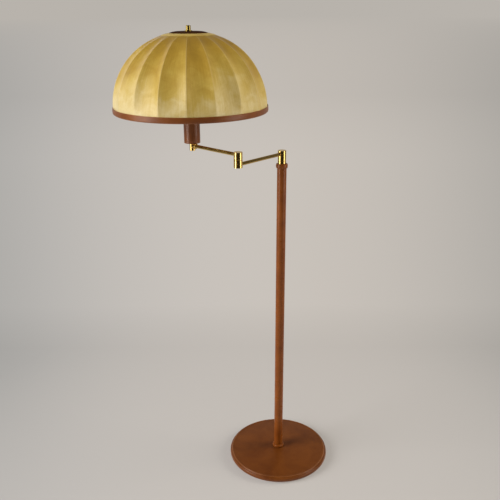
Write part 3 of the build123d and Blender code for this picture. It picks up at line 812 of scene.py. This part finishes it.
def shade_panels():
    """The parchment panels, hollow between the ribs, each with its own slack and tone, and painted light
    towards the rim and painted shade towards the crown.
    """
    mesh = bmesh.new()
    tint_and_shade = mesh.verts.layers.float.new("tint_and_shade")
    glue = mesh.verts.layers.float.new("glue")
    chart = mesh.loops.layers.uv.new("UVMap")
    left_half = [-1 + gap for gap in PANEL_COLUMNS]
    right_half = [1 - gap for gap in PANEL_COLUMNS]
    columns = sorted(left_half + [0.0] + right_half)
    for panel in range(PANEL_COUNT):
        heading = PANEL_HEADING + (2 * panel + 1) * half_panel
        slack = random.uniform(1 - PANEL_SLACK, 1 + PANEL_SLACK)
        tone = random.uniform(-PANEL_TONE, PANEL_TONE)
        sides = []
        for depth in (0.0, PANEL_THICKNESS):
            grid = []
            for row in range(PANEL_ROWS + 1):
                share = row / PANEL_ROWS
                line = []
                for across in columns:
                    vert = mesh.verts.new(panel_point(heading, share, across, depth, slack))
                    # Each panel's own tone, plus painted light towards the rim and painted shade towards the
                    # crown
                    vert[tint_and_shade] = tone + PANEL_SHADE_FADE * (PANEL_SHADE_FADE_MIDDLE - share)
                    vert[glue] = GLUE_SHARE * exp(-(((1 - abs(across)) / GLUE_WIDTH) ** 2))
                    line.append((vert, (panel + (across + 1) / 2, share)))
                grid.append(line)
            sides.append(grid)
        join_panel(mesh, chart, sides)
    add_piece("parchment_panels", mesh, skin, "shade", "shade_panels", PANEL_SHARP_ANGLE)


def join_panel(mesh, chart, sides):
    """Faces of one panel: its outer and inner grids, and the strip round its edge."""
    quads = []
    rims = []
    for grid in sides:
        for low, high in zip(grid, grid[1:]):
            quads += [(low[k], low[k + 1], high[k + 1], high[k]) for k in range(len(low) - 1)]
        right = [line[-1] for line in grid[1:]]
        left = [line[0] for line in grid[-2:0:-1]]
        rims.append(grid[0] + right + grid[-1][-2::-1] + left)
    outer, inner = rims
    for k in range(len(outer)):
        after = (k + 1) % len(outer)
        quads.append((outer[k], outer[after], inner[after], inner[k]))
    for quad in quads:
        face = mesh.faces.new([vert for vert, spot in quad])
        for loop, (vert, spot) in zip(face.loops, quad):
            loop[chart].uv = spot


def rim_binding():
    """The leather strip folded round the rim wire, full along its middle and closed at the rear."""
    outer = radius_of("shade_rim_band")
    inner = radius_of("shade_bottom_ring") - RIM_WIRE - RIM_LEATHER
    bottom, top = rim_low.z, rim_high.z
    lining = bottom + RIM_LINING_HEIGHT
    half = (top - bottom) / 2
    flush = rim_radius + RIM_CLEARANCE
    section = []
    for step in range(RIM_STEPS + 1):
        height = top - (top - bottom - RIM_LEATHER) * step / RIM_STEPS
        full = 1 - abs((height - bottom - half) / half) ** RIM_FULLNESS
        section.append((flush + (outer - flush) * (RIM_EDGE_SHARE + (1 - RIM_EDGE_SHARE) * full), height))
    section += [(outer - 1.1 * RIM_FOLD, bottom + 0.1 * RIM_FOLD), (inner + RIM_FOLD, bottom)]
    section += [(inner + 0.2 * RIM_FOLD, bottom + 0.3 * RIM_FOLD), (inner, bottom + RIM_FOLD)]
    section += [(inner, lining), (inner + RIM_LEATHER, lining), (inner + RIM_LEATHER, rim_height)]
    section += [(rim_radius, rim_height), (rim_radius, top)]

    def shift(radius, height, angle):
        return -seam_dip(angle, outer) * RIM_SEAM_SHARE if radius > rim_radius else 0.0

    def wear_and_highlight(radius, height):
        on_edge = height < bottom + RIM_WORN_BELOW or height > top - RIM_WORN_ABOVE
        return RIM_EDGE_WEAR if on_edge else RIM_WEAR

    mesh = lathe(HEAD_AXIS, section, seam_angles(RIM_COLUMNS, outer), shift, wear_and_highlight)
    add_piece("rim_binding", mesh, polished_hide, "shade", "shade_rim_band")


def crown_strip():
    """The parchment strip round the crown that covers the panels' ends, pared thin at its lower edge."""
    outside, inside = [], []
    for step in range(STRIP_STEPS + 1):
        rise = strip_start + (strip_end - strip_start) * step / STRIP_STEPS
        face = strip_radius - STRIP_PARING * PANEL_THICKNESS * exp(-step)
        for points, radius in ((outside, face), (inside, strip_radius - PANEL_THICKNESS)):
            points.append((dome_offset + radius * cos(rise), dome_belly + radius * sin(rise)))
    mesh = lathe(HEAD_AXIS, outside + inside[::-1], even_angles(STRIP_COLUMNS))
    add_piece("crown_strip", mesh, lit_strip_skin, "shade", "shade_top_band")


def crown_cap():
    """The leather disc under the finial, which curves down to a thin rounded edge."""
    bottom, top = cap_low.z, cap_high.z
    soft = CAP_EDGE / 2
    drop = top - bottom - CAP_EDGE
    reach = cap_radius - CAP_FLAT
    curve = (reach ** 2 + drop ** 2) / (2 * drop)
    section = [(CAP_HOLE, bottom)]
    section += arc((cap_radius - soft, bottom + soft), soft, -90, CAP_EDGE_TURN, CAP_EDGE_STEPS)
    for step in range(CAP_STEPS + 1):
        out = (reach - soft) * (1 - step / CAP_STEPS)
        section.append((CAP_FLAT + out, top - curve + sqrt(curve ** 2 - out ** 2)))
    section.append((CAP_HOLE, top))

    def wear_and_highlight(radius, height):
        return CAP_EDGE_WEAR if radius > cap_radius - CAP_EDGE else CAP_WEAR

    mesh = lathe(HEAD_AXIS, section, even_angles(CAP_COLUMNS), wear_and_highlight=wear_and_highlight)
    add_piece("crown_cap", mesh, cap_hide, "shade", "shade_cap")


shade_panels()
rim_binding()
crown_strip()
crown_cap()


# Stage, light and camera


def add_stage(name, mesh, material):
    """Turn a bmesh into a piece of the studio, which isn't part of the lamp."""
    data = bpy.data.meshes.new(name)
    mesh.to_mesh(data)
    mesh.free()
    data.shade_smooth()
    data.materials.append(material)
    piece = bpy.data.objects.new(name, data)
    bpy.context.scene.collection.objects.link(piece)
    return piece


def floor_glow(paint, place, distance):
    """The floor's glow by place: the pool and the dusk beside it, the tones by depth and the far fade."""
    spot = paint.node("ShaderNodeSeparateXYZ", {0: place}).outputs
    reach = paint.math("MAXIMUM", paint.math("SUBTRACT", spot["Y"], POOL_START), POOL_LEAST_REACH)
    aside = paint.math("DIVIDE", spot["X"], paint.math("MULTIPLY", reach, POOL_SPREAD))
    beside = {0: paint.math("MULTIPLY", aside, aside), 1: 1.0, 2: DUSK_SOFTNESS}
    dusk = paint.node("ShaderNodeMath", beside, operation="SMOOTH_MIN").outputs[0]
    behind = paint.spread(spot["Y"], (POOL_OPEN, POOL_CLOSED), (0.0, 1.0))
    glow = paint.mix(paint.math("MULTIPLY", dusk, behind), POOL_COLOUR, DUSK_COLOUR)
    depth = paint.spread(spot["Y"], (FLOOR_FRONT, FLOOR_BACK), (0.0, 1.0))
    tone = paint.ramp(depth, [(share, (level, level, level)) for share, level in FLOOR_TONES])
    cool = paint.spread(aside, (COOL_FULL, COOL_NONE), (1.0, 0.0))
    for layer in (tone, paint.mix(cool, (1.0, 1.0, 1.0), COOL_TINT)):
        glow = paint.mix(1.0, glow, layer, "MULTIPLY")
    return paint.mix(paint.spread(distance, (FAR_START, FAR_END), (0.0, 1.0)), glow, BACKDROP)


def studio_floor():
    """A wide pale floor with a painted glow mixed in, which lightens the shadow round the lamp and fades
    into the backdrop's colour far out.
    """
    mesh = bmesh.new()
    bmesh.ops.create_circle(mesh, cap_ends=True, segments=FLOOR_SIDES, radius=FLOOR_REACH)
    paint = Paint("studio_floor", {"Specular IOR Level": 0.0})
    place = paint.place()
    clouds = paint.clouds(place, scale=1.6, detail=3, roughness=0.5)
    colour = paint.two_tone(clouds, FLOOR_DARK, FLOOR_LIGHT)
    material = paint.finish(colour, paint.spread(clouds, NOISE_SPAN, (0.85, 0.95)))
    distance = paint.node("ShaderNodeVectorMath", {0: place}, operation="LENGTH").outputs["Value"]
    far = paint.spread(distance, (FADE_START, FADE_END), (FLOOR_GLOW_NEAR, 1.0))
    glow = {"Color": floor_glow(paint, place, distance), "Strength": 1.0}
    # The painted glow: an emission that the floor gives off, though it is no lamp
    haze = paint.node("ShaderNodeEmission", glow).outputs[0]
    mixed = paint.node("ShaderNodeMixShader", {0: far, 1: paint.shader.outputs[0], 2: haze}).outputs[0]
    paint.tree.links.new(mixed, paint.tree.nodes["Material Output"].inputs["Surface"])
    add_stage("studio_floor", mesh, material)


def side_sheet(radius, left, right, bottom, top):
    """An upright sheet curved round the lamp between two headings, in degrees right of the camera."""
    mesh = bmesh.new()
    pairs = []
    for step in range(SHEET_STEPS + 1):
        angle = radians(left + (right - left) * step / SHEET_STEPS - 90)
        spot = Vector((radius * cos(angle), radius * sin(angle), 0))
        pairs.append([mesh.verts.new(spot + Vector((0, 0, z))) for z in (bottom, top)])
    for (low, high), (next_low, next_high) in zip(pairs, pairs[1:]):
        mesh.faces.new((low, next_low, next_high, high))
    return mesh


def only_reflected(piece):
    """Show a studio piece in reflections alone, so that it neither lights nor hides anything."""
    piece.visible_camera = False
    piece.visible_diffuse = False
    piece.visible_shadow = False


def dark_reflected_sheet():
    """A dark sheet behind the camera, shown only in reflections: a painted dark reflection of the unlit
    room.
    """
    paint = Paint("dark_reflected_sheet", {"Specular IOR Level": 0.0})
    sheet_mottle = paint.clouds(paint.place(), scale=30)
    colour = paint.two_tone(sheet_mottle, (0.060, 0.055, 0.050), (0.075, 0.069, 0.063))
    material = paint.finish(colour, paint.spread(sheet_mottle, NOISE_SPAN, (0.9, 1.0)))
    mesh = side_sheet(DARK_SHEET_RADIUS, -DARK_SHEET_HEADING, DARK_SHEET_HEADING, DARK_SHEET_BOTTOM, DARK_SHEET_TOP)
    only_reflected(add_stage("dark_reflected_sheet", mesh, material))


def bright_card(name, left, right, bottom, top, glow):
    """A glowing card, shown only in the lamp's reflections: a painted highlight that lights nothing."""
    fixed = {"Specular IOR Level": 0.0, "Emission Color": CARD_COLOUR, "Emission Strength": glow}
    mesh = side_sheet(CARD_RADIUS, left, right, bottom, top)
    only_reflected(add_stage(name, mesh, Paint(name, fixed).material))


def sun(name, heading, height, softness, strength, colour):
    """A wide soft light from a heading, in degrees right of the camera, and a height above the floor."""
    data = bpy.data.lights.new(name, "SUN")
    data.energy = strength
    data.angle = radians(softness)
    data.color = colour
    light = bpy.data.objects.new(name, data)
    angle = radians(heading - 90)
    lift = radians(height)
    way = Vector((cos(angle) * cos(lift), sin(angle) * cos(lift), sin(lift)))
    light.rotation_euler = way.to_track_quat("Z", "Y").to_euler()
    light.visible_glossy = False
    bpy.context.scene.collection.objects.link(light)


def surroundings():
    """A plain room: a pale backdrop where it is seen, a dim ceiling in reflections, and a low light."""
    world = bpy.data.worlds.new("studio")
    world.use_nodes = True
    nodes, links = world.node_tree.nodes, world.node_tree.links

    def background(colour, strength):
        made = nodes.new("ShaderNodeBackground")
        made.inputs["Color"].default_value = (*colour, 1.0)
        made.inputs["Strength"].default_value = strength
        return made.outputs[0]

    def mixed(factor, first, second):
        made = nodes.new("ShaderNodeMixShader")
        for index, value in enumerate((factor, first, second)):
            links.new(value, made.inputs[index])
        return made.outputs[0]

    path = nodes.new("ShaderNodeLightPath").outputs
    way = nodes.new("ShaderNodeSeparateXYZ")
    links.new(nodes.new("ShaderNodeTexCoord").outputs["Generated"], way.inputs[0])
    overhead = nodes.new("ShaderNodeMapRange")
    overhead.inputs["From Min"].default_value = CEILING_START
    overhead.inputs["From Max"].default_value = CEILING_END
    links.new(way.outputs["Z"], overhead.inputs["Value"])
    pale = background(BACKDROP, 1.0)
    room = mixed(overhead.outputs["Result"], pale, background(CEILING_COLOUR, 1.0))
    shown = background(AMBIENT_COLOUR, AMBIENT_STRENGTH)
    for ray in ("Is Glossy Ray", "Is Transmission Ray"):
        shown = mixed(path[ray], shown, room)
    shown = mixed(path["Is Camera Ray"], shown, pale)
    links.new(shown, nodes["World Output"].inputs["Surface"])
    bpy.context.scene.world = world


def camera():
    """The camera that took the photograph, from a fit to its outlines."""
    data = bpy.data.cameras.new("camera")
    data.lens = CAMERA_LENS
    data.sensor_width = SENSOR_WIDTH
    data.clip_end = 2 * FLOOR_REACH
    made = bpy.data.objects.new("camera", data)
    tilt = Matrix.Rotation(radians(90) + CAMERA_PITCH, 4, "X") @ Matrix.Rotation(CAMERA_ROLL, 4, "Z")
    made.matrix_world = Matrix.Translation(CAMERA_PLACE) @ tilt
    bpy.context.scene.collection.objects.link(made)
    bpy.context.scene.camera = made


studio_floor()
dark_reflected_sheet()
for card, measures in CARDS.items():
    bright_card(card, *measures)
surroundings()
sun("left_light", heading=-70, height=22, softness=34, strength=3.4, colour=(1.0, 0.99, 1.0))
sun("right_light", heading=92, height=22, softness=34, strength=2.3, colour=(1.0, 0.955, 0.86))
camera()

bpy.context.scene.view_settings.view_transform = "Standard"
